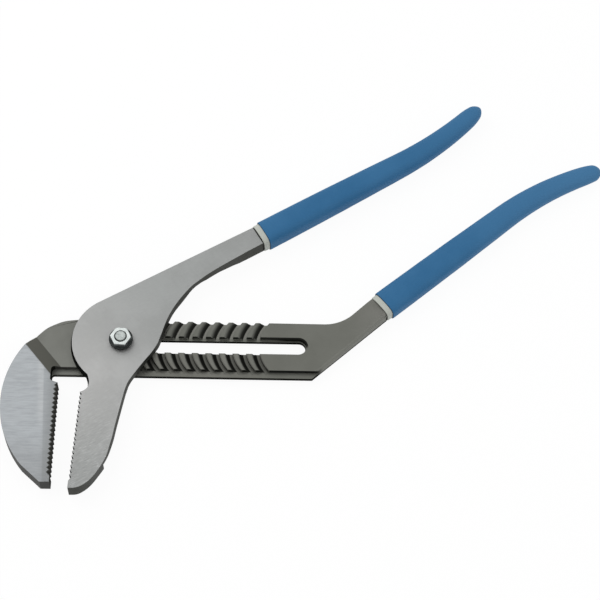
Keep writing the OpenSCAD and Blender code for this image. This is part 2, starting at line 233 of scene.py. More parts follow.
def build_walls():
    """1 on upright walls, on slopes, on faces towards -X and +X, on roundings, and patchily on
    roundings for edge wear and a painted highlight.
    """
    tree, given, out = new_group("walls_and_edges", [("Vector", VECTOR, None)],
        ["Wall", "Slope", "Left", "Right", "Rounding", "Edge"])
    split = tree.nodes.new("ShaderNodeSeparateXYZ")
    feed(tree, split.inputs[0], tree.nodes.new("ShaderNodeTexCoord").outputs["Normal"])
    level = calc(tree, "ABSOLUTE", split.outputs[2])
    feed(tree, out["Wall"], ramp(tree, level, 0.45, 0.85, 1.0, 0.0))
    feed(tree, out["Slope"], between(tree, level, (0.3, 0.45), (0.9, 0.97)))
    feed(tree, out["Left"], ramp(tree, split.outputs[0], -0.2, -0.6))
    feed(tree, out["Right"], ramp(tree, split.outputs[0], 0.2, 0.6))
    rounding = tree.nodes.new("ShaderNodeAttribute")
    rounding.attribute_name = "edge"
    feed(tree, out["Rounding"], rounding.outputs["Fac"])
    patchy = ramp(tree, noise(tree, given["Vector"], 120.0), 0.3, 0.6, 0.3, 1.0)
    feed(tree, out["Edge"], product(tree, rounding.outputs["Fac"], patchy))
    return tree


STREAKS, MOTTLE, WALLS = build_streaks(), build_mottle(), build_walls()


class Finish:
    """A material with its tree, its Principled shader and the object's own coordinates."""

    def __init__(self, name):
        self.material = bpy.data.materials.new(name)
        self.material.use_nodes = True
        self.tree = self.material.node_tree
        self.shader = self.tree.nodes["Principled BSDF"]
        self.place = self.tree.nodes.new("ShaderNodeTexCoord").outputs["Object"]

    def group(self, tree, **values):
        node = self.tree.nodes.new("ShaderNodeGroup")
        node.node_tree = tree
        feed(self.tree, node.inputs["Vector"], self.place)
        for label, value in values.items():
            feed(self.tree, node.inputs[label.replace("_", " ")], value)
        return node.outputs

    def set(self, **values):
        for label, value in values.items():
            feed(self.tree, self.shader.inputs[label.replace("_", " ")], value)

    def bump(self, height, strength, distance):
        node = self.tree.nodes.new("ShaderNodeBump")
        node.inputs["Strength"].default_value = strength
        node.inputs["Distance"].default_value = distance
        feed(self.tree, node.inputs["Height"], height)
        feed(self.tree, self.shader.inputs["Normal"], node.outputs[0])

    def axes(self):
        """The object's own X, Y and Z."""
        node = self.tree.nodes.new("ShaderNodeSeparateXYZ")
        feed(self.tree, node.inputs[0], self.place)
        return node.outputs

    def measure(self, operation, vector):
        """DISTANCE from a point, or DOT_PRODUCT with a direction."""
        node = self.tree.nodes.new("ShaderNodeVectorMath")
        node.operation = operation
        feed(self.tree, node.inputs[0], self.place)
        node.inputs[1].default_value = vector
        return node.outputs["Value"]

    def near_mouth(self, handle):
        """1 on the last half millimetre of steel before a grip's mouth."""
        aim = Vector((math.cos(handle["Heading"]), math.sin(handle["Heading"]), 0))
        start = aim.x * handle["Mouth X"] + aim.y * handle["Mouth Y"]
        along_handle = self.measure("DOT_PRODUCT", aim)
        return ramp(self.tree, along_handle, start - 0.9 * MM, start - 0.45 * MM)


# Forged steel of the slotted arm

# Painted light and shade among these tones: the jaw's slope is darker as painted shade; the
# as painted light; and edges are lighter from wear and a painted highlight.
# groove grey is painted shade on the lower floors; the upper groove floors are painted lighter
# handle's side and the jaw's back are painted as lit walls; black is partly the forging's dark
# sides and partly painted shade; the tooth tone is painted shade on the tooth roundings; the
FORGED_TONES = {
    "upper rail": srgb(114, 115, 109), "lower rail": srgb(122, 122, 116),
    "past grooves": srgb(113, 114, 108), "handle": srgb(120, 120, 115),
    "handle side": srgb(126, 127, 121), "neck": srgb(119, 120, 115), "cloud": srgb(86, 87, 81),
    "jaw slope": srgb(96, 96, 90), "jaw face": srgb(171, 175, 178),
    "jaw low end": srgb(159, 162, 164), "jaw band": srgb(188, 190, 191),
    "jaw strip": srgb(118, 119, 117), "jaw streak": srgb(126, 129, 132),
    "jaw back": srgb(64, 64, 62), "tooth": srgb(88, 88, 84), "black": srgb(36, 37, 34),
    "groove grey": srgb(94, 94, 89), "groove bare": srgb(134, 134, 128),
    "worn edge": srgb(138, 139, 134),
}
STEEL_METALLIC = 0.6
CLOUD_SHARE = 0.3
FINE_SHARE = 0.55
STRIP_SHARE = 0.22
JAW_STREAKS = (0.32, 0.66, 0.4, 0.0)
GREY_LIFTS_BLACK = 0.6
EDGE_WEAR_AND_HIGHLIGHT = (0.0, 1.0, 0.2, 0.06)

# Smooth steps of the forging's tones, as ramp takes them: first along X
AT_JAW = (-30 * MM, -36 * MM)
PAST_GROOVES = (90 * MM, 130 * MM)
AT_HEEL = (152 * MM, 158 * MM)
ON_HANDLE = (170 * MM, 210 * MM)
NEAR_TEETH = (-57.5 * MM, -49 * MM, 0.0, 0.3)
IN_TEETH = (TEETH_FROM - 1.5 * MM, TEETH_FROM - 1.4 * MM)
IN_STRIP = (STRIP_FROM - 0.7 * MM, STRIP_FROM + 0.7 * MM)
LEFT_OF_STRIP = (STRIP_FROM - 6 * MM, STRIP_FROM - 2 * MM)

# Then along Y
BELOW_SLOT = (0.0, -4 * MM)
JAW_BAND = (-80 * MM, -60 * MM, 0.0, 0.5)
JAW_LOWER_PART = (-60 * MM, -80 * MM)
JAW_LOW_END = (-75 * MM, -105 * MM)

# Then along Z
GROUND_LEVEL = (JAW_Z - 0.35 * MM, JAW_Z - 0.1 * MM)
ABOVE_RAIL = (RAIL_Z, RAIL_Z + 0.2 * MM)
UNDER_RAIL = (RAIL_Z - 0.6 * MM, RAIL_Z - 1.6 * MM)
ABOVE_FOOT = (BACK_Z + 1.0 * MM, BACK_Z + 2.6 * MM)

# Smooth steps across a groove, by the distance in from its lip, then along Y and Z
UPPER_BLACK_ON, UPPER_BLACK_OFF = (-1.2 * MM, 4.4 * MM), (3.7 * MM, 4.1 * MM)
LOWER_BLACK_ON, LOWER_BLACK_OFF = (0.9 * MM, 2.4 * MM), (4.7 * MM, 5.6 * MM)
GREY_ON, GREY_OFF = (4.4 * MM, 4.8 * MM), (8.1 * MM, 8.5 * MM)
GREY_DEEPENS = (4.6 * MM, 7.0 * MM, 0.4, 1.0)
PAINTED_LIGHT_ON, PAINTED_LIGHT_FADES = (3.8 * MM, 4.2 * MM), (5.0 * MM, 7.0 * MM, 1.0, 0.3)
BLACK_ABOVE_FLANGE = (-20.9 * MM, -20.5 * MM)
GREY_ABOVE_FLANGE = (-23.2 * MM, -20.9 * MM)
PAINTED_LIGHT_ABOVE_SLOT = (6.5 * MM, 9.0 * MM)
BLACK_ABOVE_FLOOR = (FLOOR_Z - 0.25 * MM, FLOOR_Z)
PAINTED_LIGHT_ON_FLOOR = (FLOOR_Z, FLOOR_Z - 0.2 * MM)

# Smooth steps of the slot's upper side: along X, Y and Z, and its widening past the grooves
SLOT_STARTS, LEDGE_ENDS = (-20 * MM, -10 * MM), (130 * MM, 115 * MM)
SLOT_WIDENS = (100 * MM, 110 * MM, SLOT_HALF + 1.1 * MM, SLOT_HALF + 1.4 * MM)
SLOT_BLUR = (0.0, 0.3 * MM)
UPPER_SIDE = (-2 * MM, 2 * MM)
SLOT_TOP = (RAIL_Z - 0.4 * MM, RAIL_Z - 0.2 * MM)
UNDER_SLOT_TOP = (RAIL_Z - 1.6 * MM, RAIL_Z - 2.2 * MM)
ABOVE_LEDGE_FOOT = (FLOOR_Z - 0.3 * MM, FLOOR_Z)


def groove_shade(m):
    """Masks of painted shade and light: black groove sides and grey lower floors as shade, lighter
    upper floors as light.
    """
    t = m.tree
    x, y, z = m.axes()
    rim = GROOVE_OUT + GROOVE_LIP
    reach = calc(t, "SQRT", largest(t, calc(t, "SUBTRACT", rim ** 2, product(t, y, y)), 0.0))
    station = calc(t, "DIVIDE", calc(t, "ADD", x, reach), PITCH)
    inside = product(t, calc(t, "FRACT", station), reach, PITCH / rim)
    grooved = product(t,
        calc(t, "GREATER_THAN", station, 0.0),
        calc(t, "LESS_THAN", station, float(STATIONS)),
        calc(t, "LESS_THAN", z, RAIL_Z + ON_LEVEL))
    above, below = calc(t, "GREATER_THAN", y, 0.0), calc(t, "LESS_THAN", y, 0.0)
    # Black outer sides of the grooves: painted shade
    upper_black = product(t,
        between(t, inside, UPPER_BLACK_ON, UPPER_BLACK_OFF),
        ramp(t, z, *BLACK_ABOVE_FLOOR), above)
    lower_black = product(t,
        between(t, inside, LOWER_BLACK_ON, LOWER_BLACK_OFF),
        ramp(t, y, *BLACK_ABOVE_FLANGE), below)
    # Grey floors of the lower row: painted shade, deepening towards the far wall
    grey = product(t,
        between(t, inside, GREY_ON, GREY_OFF),
        ramp(t, inside, *GREY_DEEPENS),
        ramp(t, y, *GREY_ABOVE_FLANGE), below)
    # Upper floors painted lighter next to the slope, as painted light, fading further in
    painted_light = product(t,
        ramp(t, inside, *PAINTED_LIGHT_ON),
        ramp(t, inside, *PAINTED_LIGHT_FADES),
        ramp(t, z, *PAINTED_LIGHT_ON_FLOOR),
        ramp(t, y, *PAINTED_LIGHT_ABOVE_SLOT))
    black = largest(t, upper_black, lower_black)
    return [product(t, grooved, mask) for mask in (black, grey, painted_light)]


def slot_shade(m):
    """Masks of the slot's upper side: painted shade, black, along its top, and painted light along
    its ledge.
    """
    t = m.tree
    x, y, z = m.axes()
    past_end = largest(t, calc(t, "SUBTRACT", x, SLOT_END), 0.0)
    off_slot = calc(t, "SQRT", calc(t, "ADD", product(t, past_end, past_end), product(t, y, y)))
    wide = ramp(t, x, *SLOT_WIDENS)
    by_slot = product(t,
        ramp(t, calc(t, "SUBTRACT", wide, off_slot), *SLOT_BLUR),
        ramp(t, y, *UPPER_SIDE),
        ramp(t, x, *SLOT_STARTS))
    black = product(t, by_slot, ramp(t, z, *SLOT_TOP))
    painted_light = product(t, by_slot,
        ramp(t, z, *UNDER_SLOT_TOP), ramp(t, z, *ABOVE_LEDGE_FOOT), ramp(t, x, *LEDGE_ENDS))
    return black, painted_light


def forged_skin(m, at_jaw, cloud, slope):
    """Skin of the forging: lighter below the slot and on the handle, darker on the jaw's slope as
    painted shade.
    """
    t = m.tree
    x, y, z = m.axes()
    # The jaw's slope is painted darker as shade, where it faces away from the light
    jaw_slope = product(t, slope, at_jaw, ramp(t, z, *ABOVE_RAIL))
    return paint(t, FORGED_TONES["upper rail"],
        (ramp(t, y, *BELOW_SLOT), FORGED_TONES["lower rail"]),
        (ramp(t, x, *PAST_GROOVES), FORGED_TONES["past grooves"]),
        (ramp(t, x, *ON_HANDLE), FORGED_TONES["handle"]),
        (at_jaw, FORGED_TONES["neck"]),
        (product(t, cloud, CLOUD_SHARE), FORGED_TONES["cloud"]),
        (jaw_slope, FORGED_TONES["jaw slope"]))


def ground_jaw(m, by_teeth, streak):
    """Ground face of the fixed jaw, darker at its lower end and in the strip beside the teeth."""
    t = m.tree
    x, y = m.axes()[:2]
    by_strip = calc(t, "MULTIPLY_ADD", y, STRIP_SLANT, x)
    in_strip = ramp(t, by_strip, *IN_STRIP)
    band = product(t,
        ramp(t, by_strip, *LEFT_OF_STRIP),
        opposite(t, in_strip),
        ramp(t, y, *JAW_BAND))
    nearer = ramp(t, by_teeth, *NEAR_TEETH)
    strip = vary(t, nearer, STRIP_SHARE, in_strip)
    return paint(t, FORGED_TONES["jaw face"],
        (ramp(t, y, *JAW_LOW_END), FORGED_TONES["jaw low end"]),
        (band, FORGED_TONES["jaw band"]),
        (strip, FORGED_TONES["jaw strip"]),
        (ramp(t, streak, *JAW_STREAKS), FORGED_TONES["jaw streak"]))


def forged_steel():
    """Dark forging with a lighter ground face on the fixed jaw, and black grooves and walls painted
    as shade.
    """
    m = Finish("forged_steel")
    t = m.tree
    mottle = m.group(MOTTLE, Cloud_Scale=28.0, Speck_Scale=1400.0)
    fine = m.group(STREAKS, Along=70.0, Across=1200.0, Slant=0.03)["Streak"]
    broad = m.group(STREAKS, Along=90.0, Across=330.0, Slant=-0.1)["Streak"]
    streak = vary(t, product(t, broad, 1.0 - FINE_SHARE), FINE_SHARE, fine)
    walls = m.group(WALLS)
    x, y, z = m.axes()
    at_jaw = ramp(t, x, *AT_JAW)
    ground = product(t, ramp(t, z, *GROUND_LEVEL), at_jaw)
    by_teeth = calc(t, "MULTIPLY_ADD", y, -TEETH_SLANT, x)
    teeth = product(t, at_jaw, ramp(t, by_teeth, *IN_TEETH))

    # Walls are near black, partly the forging's dark sides and partly painted shade; the jaw's back
    # is painted grey as lit, and the handle's side as lit too, with painted shade only at its foot
    handle_side = product(t, ramp(t, x, *AT_HEEL), ramp(t, z, *ABOVE_FOOT))
    jaw_end = product(t, ramp(t, y, *JAW_LOWER_PART), opposite(t, walls["Right"]))
    jaw_back = product(t, at_jaw, largest(t, walls["Left"], jaw_end))
    # Painted shadow on the steel just before the lower grip's mouth
    at_mouth = product(t, m.near_mouth(LOWER_HANDLE), ramp(t, z, *UNDER_RAIL))
    groove_black, groove_grey, groove_painted_light = groove_shade(m)
    slot_black, slot_painted_light = slot_shade(m)
    black = product(t, walls["Wall"], opposite(t, largest(t, handle_side, jaw_back)))
    # Painted shade on tooth roundings, groove sides, the slot's top and the grip's mouth; the lower
    # grooves' grey floors and the slot's painted light lift some of it again
    black = largest(t, black, product(t, teeth, walls["Rounding"]))
    black = product(t, black, opposite(t, product(t, groove_grey, GREY_LIFTS_BLACK)))
    black = largest(t, black, at_mouth, groove_black, slot_black)
    black = product(t, black, opposite(t, slot_painted_light))

    # Edges lighter from wear and a painted highlight, most where not black
    wear_and_highlight = product(t, walls["Edge"], ramp(t, black, *EDGE_WEAR_AND_HIGHLIGHT))
    colour = paint(t, forged_skin(m, at_jaw, mottle["Cloud"], walls["Slope"]),
        (ground, ground_jaw(m, by_teeth, streak)),
        (product(t, walls["Wall"], handle_side), FORGED_TONES["handle side"]),
        (product(t, walls["Wall"], jaw_back), FORGED_TONES["jaw back"]),
        (groove_grey, FORGED_TONES["groove grey"]),
        (groove_painted_light, FORGED_TONES["groove bare"]),
        (black, blend_colour(t, teeth, FORGED_TONES["black"], FORGED_TONES["tooth"])),
        (wear_and_highlight, FORGED_TONES["worn edge"]))
    m.set(Base_Color=colour, Specular_IOR_Level=0.0,
        Metallic=ramp(t, black, 0.0, 1.0, STEEL_METALLIC, 0.0),
        Roughness=vary(t, 0.42, 0.14, mottle["Speck"]))
    m.bump(blend_height(t, ground, mottle["Speck"], streak),
        strength=0.2, distance=0.04 * MM)
    return m.material


# Satin steel of the pivot arm: lightest about one point as painted light, most scratched at its jaw

# Painted light and shade among these tones: the plate is lightest about one point, a painted
# painted shadow before the grip; and edges are lighter from wear and a painted highlight.
# pool of light; the sides are painted shade, darker where they face left; the mouth line is a
SATIN_TONES = {
    "lightest": srgb(177, 177, 176), "far out": srgb(156, 158, 157), "mark": srgb(122, 123, 121),
    "scratch": srgb(200, 201, 200), "side": srgb(64, 65, 61), "left side": srgb(30, 31, 29),
    "mouth line": srgb(26, 27, 26), "worn edge": srgb(184, 185, 184),
}
LIGHTEST_AT, FAR_OUT = (-40 * MM, -30 * MM, JAW_Z), (0.0, 100 * MM)
SCRATCHED = (-20 * MM, -110 * MM, 0.15, 1.0)
DARK_SCRATCHES, LIGHT_SCRATCHES = (0.5, 0.25, 0.0, 0.33), (0.5, 0.75, 0.0, 0.42)
SATIN_MARKS, SATIN_WEAR_AND_HIGHLIGHT = (0.3, 0.7, 0.2, 0.0), (0.0, 1.0, 0.35, 0.1)


def satin_steel():
    """Light satin plate, faintly ground and scratched, with darker sheared sides in painted shade.
    """
    m = Finish("satin_steel")
    t = m.tree
    mottle = m.group(MOTTLE, Cloud_Scale=22.0, Speck_Scale=1800.0)
    streak = m.group(STREAKS, Along=120.0, Across=420.0, Slant=0.9)["Streak"]
    scratch = m.group(STREAKS, Along=220.0, Across=1000.0, Slant=-0.5)["Streak"]
    walls = m.group(WALLS)
    marks = vary(t, product(t, mottle["Cloud"], 0.5), 0.5, streak)
    scratched = ramp(t, m.axes()[1], *SCRATCHED)
    dark_scratch = product(t, scratched, ramp(t, scratch, *DARK_SCRATCHES))
    light_scratch = product(t, scratched, ramp(t, scratch, *LIGHT_SCRATCHES))
    # Sides painted dark as shade, darker still where they face left
    side = blend_colour(t, walls["Left"], SATIN_TONES["side"], SATIN_TONES["left side"])
    # Edges lighter from wear and a painted highlight, fainter where they face left
    wear_and_highlight = product(t, walls["Edge"], ramp(t, walls["Left"], *SATIN_WEAR_AND_HIGHLIGHT))
    colour = paint(t, SATIN_TONES["lightest"],
        # A painted pool of light about one point, fading further out
        (ramp(t, m.measure("DISTANCE", LIGHTEST_AT), *FAR_OUT), SATIN_TONES["far out"]),
        (ramp(t, marks, *SATIN_MARKS), SATIN_TONES["mark"]),
        (dark_scratch, SATIN_TONES["mark"]),
        (light_scratch, SATIN_TONES["scratch"]),
        (walls["Wall"], side),
        # Painted shadow on the steel before the grip's mouth
        (m.near_mouth(UPPER_HANDLE), SATIN_TONES["mouth line"]),
        (wear_and_highlight, SATIN_TONES["worn edge"]))
    # Left-facing walls lose their metal, so their painted shade renders black
    black = product(t, walls["Wall"], walls["Left"])
    m.set(Base_Color=colour, Specular_IOR_Level=0.0,
        Metallic=ramp(t, black, 0.0, 1.0, STEEL_METALLIC, 0.0),
        Roughness=vary(t, 0.4, 0.16, streak))
    m.bump(blend_height(t, 0.5, mottle["Speck"], streak),
        strength=0.2, distance=0.04 * MM)
    return m.material


# Small hardware and dipped coats

PALE_FAR_OUT = (240 * MM, 420 * MM)
LIT_MOUTH = (RAIL_Z - 1.0 * MM, RAIL_Z - 0.2 * MM)


def plated_steel(name, low, high, side, roughness):
    """Plated or blackened steel of the small hardware, with a colour of its own on upright sides,
    which on the bolt and washer is painted shade.
    """
    m = Finish(name)
    t = m.tree
    mottle = m.group(MOTTLE, Cloud_Scale=350.0, Speck_Scale=3000.0)
    walls = m.group(WALLS)
    m.set(Base_Color=paint(t, low, (mottle["Cloud"], high), (walls["Wall"], side)), Metallic=0.85,
        Roughness=vary(t, roughness, 0.12, mottle["Speck"]))
    m.bump(mottle["Speck"], strength=0.15, distance=0.03 * MM)
    return m.material


def dipped_vinyl(name, low, high, pale_end, roughness, mouth_low, mouth_high):
    """Dipped coat: satin skin with faint clouds, paler far from the bolt as painted light, and dark
    in its mouth as painted shadow.
    """
    m = Finish(name)
    t = m.tree
    mottle = m.group(MOTTLE, Cloud_Scale=30.0, Speck_Scale=2200.0)
    mouth = t.nodes.new("ShaderNodeAttribute")
    mouth.attribute_name = "mouth"
    # The mouth's painted shadow has a lighter copy higher up, where it would be lit
    lit = ramp(t, m.axes()[2], *LIT_MOUTH)
    colour = paint(t, low,
        (mottle["Cloud"], high),
        # Painted light: paler far from the bolt
        (ramp(t, m.measure("DISTANCE", (0, 0, 0)), *PALE_FAR_OUT), pale_end),
        (mouth.outputs["Fac"], blend_colour(t, lit, mouth_low, mouth_high)))
    m.set(Base_Color=colour, IOR=1.48, Specular_IOR_Level=0.35,
        Roughness=vary(t, roughness, 0.12, mottle["Speck"]))
    m.bump(mottle["Speck"], strength=0.12, distance=0.05 * MM)
    return m.material


FORGED = forged_steel()
SATIN = satin_steel()
# Upright sides: painted shade on the bolt and the washer; the nut's keep about its own tone
BOLT = plated_steel("bolt_steel", roughness=0.36,
    low=srgb(148, 154, 152), high=srgb(176, 182, 179), side=srgb(36, 38, 38))
BLACK = plated_steel("washer_black", roughness=0.4,
    low=srgb(40, 43, 43), high=srgb(53, 56, 55), side=srgb(18, 20, 20))
ZINC = plated_steel("nut_zinc", roughness=0.24,
    low=srgb(175, 181, 179), high=srgb(194, 199, 197), side=srgb(176, 181, 181))
# Mouth tones are painted shadow, a dark and a lit copy; the far-end tone is painted light
CREAM = dipped_vinyl("liner_cream", roughness=0.45,
    low=srgb(208, 212, 203), high=srgb(220, 224, 216), pale_end=srgb(220, 224, 216),
    mouth_low=srgb(24, 24, 22), mouth_high=srgb(96, 97, 92))
BLUE = dipped_vinyl("grip_blue", roughness=0.52,
    low=srgb(46, 112, 161), high=srgb(56, 120, 169), pale_end=srgb(71, 130, 177),
    mouth_low=srgb(8, 28, 42), mouth_high=srgb(14, 44, 66))


# Steel with eased edges

SOLID_WELD = 2e-6
FLAT_WITHIN = math.radians(0.3)
SHARP_FROM = math.radians(28)
CURVED_WITHIN = math.cos(math.radians(16))
ROUNDING_WITHIN = math.cos(math.radians(50))


def eased_copy(node, body, slot, material, easing, reshape=None):
    """Copy of a solid with its outer edges rounded; easing gives each edge's radius in metres."""
    bm = bmesh.new()
    bm.from_mesh(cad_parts[node].data)
    bmesh.ops.remove_doubles(bm, verts=bm.verts, dist=SOLID_WELD)
    bmesh.ops.dissolve_limit(bm, angle_limit=FLAT_WITHIN, verts=bm.verts, edges=bm.edges)
    if reshape:
        bm.normal_update()
        reshape(bm)
    weight = bm.edges.layers.float.new("bevel_weight_edge")
    sizes = {
        e: easing((e.verts[0].co + e.verts[1].co) / 2, e) for e in bm.edges
        if len(e.link_faces) == 2 and e.calc_face_angle_signed(0) > SHARP_FROM}
    widest = max(sizes.values())
    for e, size in sizes.items():
        e[weight] = size / widest
    mesh = bpy.data.meshes.new(slot)
    bm.to_mesh(mesh)
    bm.free()
    piece = bpy.data.objects.new(node + "_eased", mesh)
    bpy.context.scene.collection.objects.link(piece)

    # The bevel marks its roundings with the second material, which then becomes an attribute
    mesh.materials.append(material)
    mesh.materials.append(material)
    bevel = piece.modifiers.new("easing", "BEVEL")
    bevel.limit_method = "WEIGHT"
    bevel.width = widest
    bevel.segments = 2
    bevel.use_clamp_overlap = False
    bevel.material = 1
    made = plain_mesh(piece)
    edge = made.attributes.new("edge", "FLOAT", "FACE")
    edge.data.foreach_set("value", [float(p.material_index) for p in made.polygons])
    set_normals(made)
    for p in made.polygons:
        p.material_index = 0
    made.materials.pop(index=1)
    return dress(piece, body, slot, node)


def set_normals(mesh):
    """Faces stay flat up to their rounded edges; each rounding turns from one face to the next."""
    bm = bmesh.new()
    bm.from_mesh(mesh)

    def mean(faces):
        return sum((f.normal * f.calc_area() for f in faces), Vector()).normalized()

    def alike(vert, face, within):
        return [f for f in vert.link_faces if f.normal.dot(face.normal) > within]

    def corner_normal(vert, face):
        if face.material_index:
            near = alike(vert, face, ROUNDING_WITHIN)
            flats = [f for f in near if not f.material_index]
            if not flats:
                return mean(near)
            face = max(flats, key=lambda f: f.normal.dot(face.normal))
        return mean(f for f in alike(vert, face, CURVED_WITHIN) if not f.material_index)

    normals = [tuple(corner_normal(vert, face)) for face in bm.faces for vert in face.verts]
    bm.free()
    mesh.shade_smooth()
    mesh.normals_split_custom_set(normals)


def plain_mesh(piece):
    """Turn the evaluated object into its own plain mesh and take its modifiers off."""
    bpy.context.view_layer.update()
    evaluated = piece.evaluated_get(bpy.context.evaluated_depsgraph_get())
    made = bpy.data.meshes.new_from_object(evaluated)
    piece.modifiers.clear()
    piece.data = made
    return made


def dress(piece, body, slot, *nodes):
    """Say what a finished piece rides on and what it replaces; slot, for its finish, is not used.
    """
    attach(piece, body)
    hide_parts(*nodes)
    return piece


# Rounding of the edges: the lower handle's runs from the heel to the mouth along a straight line
HEEL = Vector((149.1 * MM, -25.6 * MM))
LOWER_RIGHT = Vector((206.86 * MM, 27.56 * MM))
HEEL_ROUND = 2.4 * MM
TOOTH_ROUND = 0.8 * MM
STEEL_ROUND = 0.2 * MM
WASHER_ROUND = 0.3 * MM
BOLT_ROUND = 0.15 * MM
SHORT_EDGE = 0.4 * MM
NEAR_LINE, NEAR_LIP = 0.3 * MM, 0.2 * MM


def on_heel_edge(point):
    run = (LOWER_RIGHT - HEEL).normalized()
    off = point.xy - HEEL
    on_top = point.z > RAIL_Z - 2 * ON_LEVEL
    return on_top and abs(run.cross(off)) < NEAR_LINE and off.dot(run) > 0


def past_lower_mouth(point):
    aim = Vector((math.cos(LOWER_HANDLE["Heading"]), math.sin(LOWER_HANDLE["Heading"])))
    mouth = Vector((LOWER_HANDLE["Mouth X"], LOWER_HANDLE["Mouth Y"]))
    return aim.dot(point.xy - mouth) > -NEAR_LINE


def on_tooth(point):
    right = TEETH_FROM < point.x - TEETH_SLANT * point.y
    return right and TEETH_LOW < point.y < TEETH_HIGH and abs(point.z - JAW_Z) < ON_LEVEL


def on_groove_lip(point):
    if abs(point.z - RAIL_Z) >= ON_LEVEL or point.x <= GROOVES_FROM:
        return False
    return any(
        point.x < i * PITCH
        and abs(math.hypot(point.x - i * PITCH, point.y) - GROOVE_OUT) < NEAR_LIP
        for i in range(STATIONS))


def slotted_easing(mid, edge):
    """Large along the lower handle, on the teeth and on the groove lips, small elsewhere."""
    ends = [v.co for v in edge.verts]
    if all(on_heel_edge(end) for end in ends):
        return HEEL_ROUND
    if edge.calc_length() < SHORT_EDGE or all(past_lower_mouth(end) for end in ends):
        return 0.0
    if all(on_tooth(end) for end in ends):
        return TOOTH_ROUND
    return GROOVE_LIP if on_groove_lip(mid) else STEEL_ROUND


def pivot_easing(mid, edge):
    return STEEL_ROUND if edge.calc_length() > SHORT_EDGE else 0.0


# Draft of the plate's right side: outward shift in mm, against Y in mm, of its top edge and foot
TOP_DRAFT = [
    (-124, 0), (-121, 0.5), (-112, 0.8), (-106, 0.6), (-100, 0), (-98, 0), (-88, -0.9),
    (-40, -0.9), (-32, -0.5), (-20, -0.2), (-11, -0.2), (-4, -1.0), (3, -1.0), (30, -0.9),
    (37.5, -0.7), (42.5, -0.4), (47.5, 0), (54.5, 0.9), (59, 0.6), (66, 0.45), (77, 0.4), (83, 0),
]
FOOT_DRAFT = [
    (28, 0), (33, 0.4), (37.5, 0.7), (42.5, 0.6), (47.5, 0.45), (51, 0.5), (54.5, 0.8),
    (58.7, 1.1), (62.4, 0.5), (66.2, -0.1), (73.4, -0.35), (80, 0),
]

# Left of the hub the foot stands out, outside its round and between two heights
HUB_DRAFT, HUB_ROUND = 1.4 * MM, 37 * MM
HUB_LEFT_OF, HUB_LOW, HUB_HIGH = -10 * MM, -38.5 * MM, 35 * MM


def along(table, value):
    """Straight-line reading of a table of (place, size), nothing beyond its ends."""
    for (a, low), (b, high) in zip(table, table[1:]):
        if a <= value <= b:
            return low + (high - low) * (value - a) / (b - a)
    return 0.0


def smooth_step(value, low, high):
    share = min(max((value - low) / (high - low), 0.0), 1.0)
    return share * share * (3 - 2 * share)


def by_hub(point):
    at_foot = abs(point.z - PLATE_Z) < ON_LEVEL and point.xy.length > HUB_ROUND
    return at_foot and point.x < HUB_LEFT_OF and HUB_LOW < point.y < HUB_HIGH


def add_draft(bm):
    """Forging draft: the plate's top and foot differ a little, on its right and left of the hub."""
    for v in bm.verts:
        away = v.normal.xy
        if away.length < 0.1:
            continue
        away.normalize()
        top = v.co.z > JAW_Z - ON_LEVEL
        out = 0.0
        if away.x > 0.2 and (top or v.co.z < PLATE_Z + ON_LEVEL):
            out = along(TOP_DRAFT if top else FOOT_DRAFT, v.co.y / MM) * MM
        elif by_hub(v.co):
            out = HUB_DRAFT * smooth_step(-away.x, 0.1, 0.7)
        v.co.x += away.x * out
        v.co.y += away.y * out


eased_copy("slotted_arm", "slotted_arm", "forged_steel", FORGED, slotted_easing)
eased_copy("pivot_arm", "pivot_arm", "satin_steel", SATIN, pivot_easing, add_draft)
eased_copy("pivot_nut", "pivot_bolt", "nut_zinc", ZINC, lambda mid, edge: BOLT_ROUND)
eased_copy("washer", "pivot_bolt", "washer_black", BLACK, lambda mid, edge: WASHER_ROUND)
eased_copy("pivot_bolt", "pivot_bolt", "bolt_steel", BOLT, lambda mid, edge: BOLT_ROUND)


# Grips and their liners: one sleeve that follows the handle

SLEEVE_SIZES = [
    ("Mouth X", 0.0), ("Mouth Y", 0.0), ("Heading", 0.0), ("Turn", 0.0), ("Straight", 0.1),
    ("Length", 0.2), ("Start", 0.0), ("Width", 0.02), ("Thickness", 0.02), ("End Width", 0.012),
    ("End Thickness", 0.012), ("End Taper", 0.0), ("Skin", 0.0), ("Lip", 0.001), ("Shade", 1e-5),
    ("Mouth Square", 3.4), ("End Square", 2.4), ("Unevenness", 0.0),
]
SLEEVE_COUNTS = [("Rings", 120), ("Sides", 48)]
SLEEVE_WELD = 1e-6
ROUND_END_FROM = 0.97
TAPER_RUN = 17 * MM
SWELL_SCALE = 45.0


